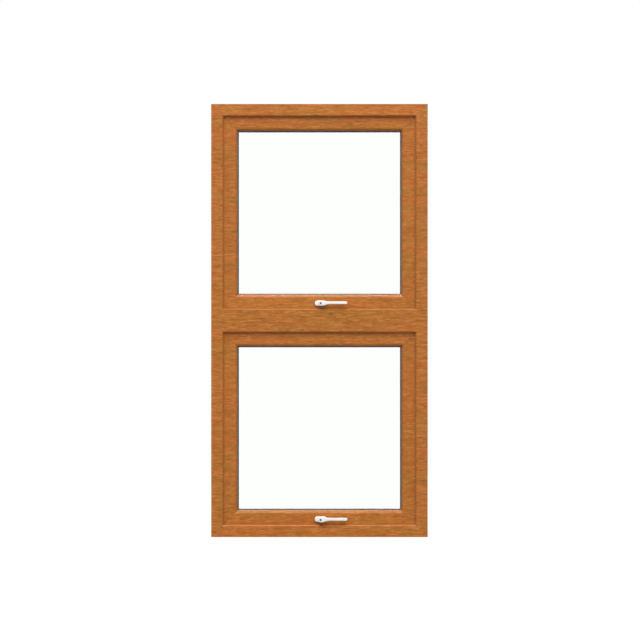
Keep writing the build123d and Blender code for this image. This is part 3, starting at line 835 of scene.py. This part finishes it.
world = bpy.data.worlds.new("studio")
scene.world = world
world.use_nodes = True
tree = world.node_tree
tree.nodes.clear()
through, by_camera = rays_that_look(tree)
seen = add_node(tree, "ShaderNodeMath", operation="MAXIMUM", links=[(0, through), (1, by_camera)])
lit_sky = add_node(tree, "ShaderNodeBackground",
                   links=[("Color", linear("#ffffff")), ("Strength", world_light)])
seen_sky = add_node(tree, "ShaderNodeBackground",
                    links=[("Color", linear("#ffffff")), ("Strength", 1.0)])
sky = add_node(tree, "ShaderNodeMixShader",
               links=[(0, seen.outputs[0]), (1, lit_sky.outputs[0]), (2, seen_sky.outputs[0])])
add_node(tree, "ShaderNodeOutputWorld", links=[("Surface", sky.outputs[0])])
print("the world lights the window at", world_light)

# %% [markdown]
# Near the window the floor is partly a plain diffuse surface, which keeps the shadow, and it turns
# to the same white as the world further out, so that no horizon shows. The floor throws back only
# a third of its light, so that faces that look down stay as dark as in the photograph.

# %% Floor
floor_half = 40.0
floor_white_near = 0.6
fade_start = 1.4
fade_end = 3.2
floor_for_light = "#9c9a98"
floor_for_camera = "#f8f8f8"

floor_shape = bmesh.new()
bmesh.ops.create_grid(floor_shape, x_segments=1, y_segments=1, size=floor_half)
floor_mesh = bpy.data.meshes.new("studio_floor")
floor_shape.to_mesh(floor_mesh)
floor_shape.free()
floor = bpy.data.objects.new("studio_floor", floor_mesh)
scene.collection.objects.link(floor)

floor_material, tree = new_material("pale_floor")
place = add_node(tree, "ShaderNodeTexCoord").outputs["Object"]
distance = add_node(tree, "ShaderNodeVectorMath", operation="LENGTH", links=[(0, place)])
whiter = add_node(tree, "ShaderNodeMapRange",
                  links=[("Value", distance.outputs["Value"]), ("From Min", fade_start),
                         ("From Max", fade_end), ("To Min", floor_white_near), ("To Max", 1.0)])
through, by_camera = rays_that_look(tree)
camera_share = add_node(tree, "ShaderNodeMath", operation="MULTIPLY",
                        links=[(0, by_camera), (1, whiter.outputs[0])])
share = add_node(tree, "ShaderNodeMath", operation="MAXIMUM",
                 links=[(0, through), (1, camera_share.outputs[0])])
floor_colour = add_node(tree, "ShaderNodeMix", data_type="RGBA",
                        links=[(mix_factor, by_camera), (mix_first, linear(floor_for_light)),
                               (mix_second, linear(floor_for_camera))])
lit_floor = add_node(tree, "ShaderNodeBsdfDiffuse",
                     links=[("Color", floor_colour.outputs[mix_result])])
white = add_node(tree, "ShaderNodeEmission",
                 links=[("Color", linear("#ffffff")), ("Strength", 1.0)])
mixed = add_node(tree, "ShaderNodeMixShader",
                 links=[(0, share.outputs[0]), (1, lit_floor.outputs[0]), (2, white.outputs[0])])
add_node(tree, "ShaderNodeOutputMaterial", links=[("Surface", mixed.outputs[0])])
floor_mesh.materials.append(floor_material)
print("the floor is", 2 * floor_half, "m wide and all white from", fade_end, "m on")

# %% [markdown]
# The photograph's light comes from above in front: a dark line with a soft edge lies under the head
# and the transom, and faint, equal ones lie along both jambs. A small lamp would draw hard edges.
# So the key lamp is one large soft square, 57 degrees up. Seen from the window it spans about 24
# degrees to each side of its middle, from 33 to 81 degrees up. A second lamp behind lights the
# outdoor side.

# %% Lamps
window_middle = Vector((0.0, 0.0, (cad_box[0][2] + cad_box[1][2]) / 2))


def soft_lamp(name, rise, turn, distance, size, power):
    """A soft lamp at a rise and a turn to the right in degrees, as seen from the window."""
    lamp = bpy.data.lights.new(name, "AREA")
    lamp.shape = "RECTANGLE"
    lamp.size, lamp.size_y = size
    lamp.energy = power
    lamp_object = bpy.data.objects.new(name, lamp)
    rise, turn = math.radians(rise), math.radians(turn)
    way = Vector((math.cos(rise) * math.sin(turn), -math.cos(rise) * math.cos(turn), math.sin(rise)))
    lamp_object.location = window_middle + distance * way
    lamp_object.rotation_euler = (-way).to_track_quat("-Z", "Y").to_euler()
    scene.collection.objects.link(lamp_object)
    return lamp_object


for lamp in (soft_lamp("key_lamp", rise=57, turn=1, distance=18.0, size=(15.8, 15.9), power=4250.0),
             soft_lamp("back_lamp", rise=45, turn=190, distance=9.0, size=(5.0, 4.0), power=620.0)):
    print(lamp.name, [round(value, 2) for value in lamp.location])

# %% [markdown]
# The camera stands straight in front of the window, at half its height, far enough away that the
# reveals hardly show. In the photograph's 640 pixels the frame is 433.1 high, which sets the lens.

# %% Camera
picture_pixels = 640.0
frame_height_pixels = 433.1
frame_middle_pixel = (319.45, 320.55)
camera_distance = 7.0
sensor = 36.0

low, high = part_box("outer_frame")
metres_per_pixel = (high.z - low.z) / frame_height_pixels
camera_data = bpy.data.cameras.new("photo_camera")
camera_data.sensor_fit = "HORIZONTAL"
camera_data.sensor_width = sensor
camera_data.lens = sensor * camera_distance / (picture_pixels * metres_per_pixel)
camera = bpy.data.objects.new("photo_camera", camera_data)
camera.location = ((picture_pixels / 2 - frame_middle_pixel[0]) * metres_per_pixel,
                   low.y - camera_distance,
                   window_middle.z + (frame_middle_pixel[1] - picture_pixels / 2) * metres_per_pixel)
camera.rotation_euler = (math.pi / 2, 0.0, 0.0)
scene.collection.objects.link(camera)
scene.camera = camera
scene.view_settings.view_transform = "Standard"
print("lens:", round(camera_data.lens, 1), "mm")
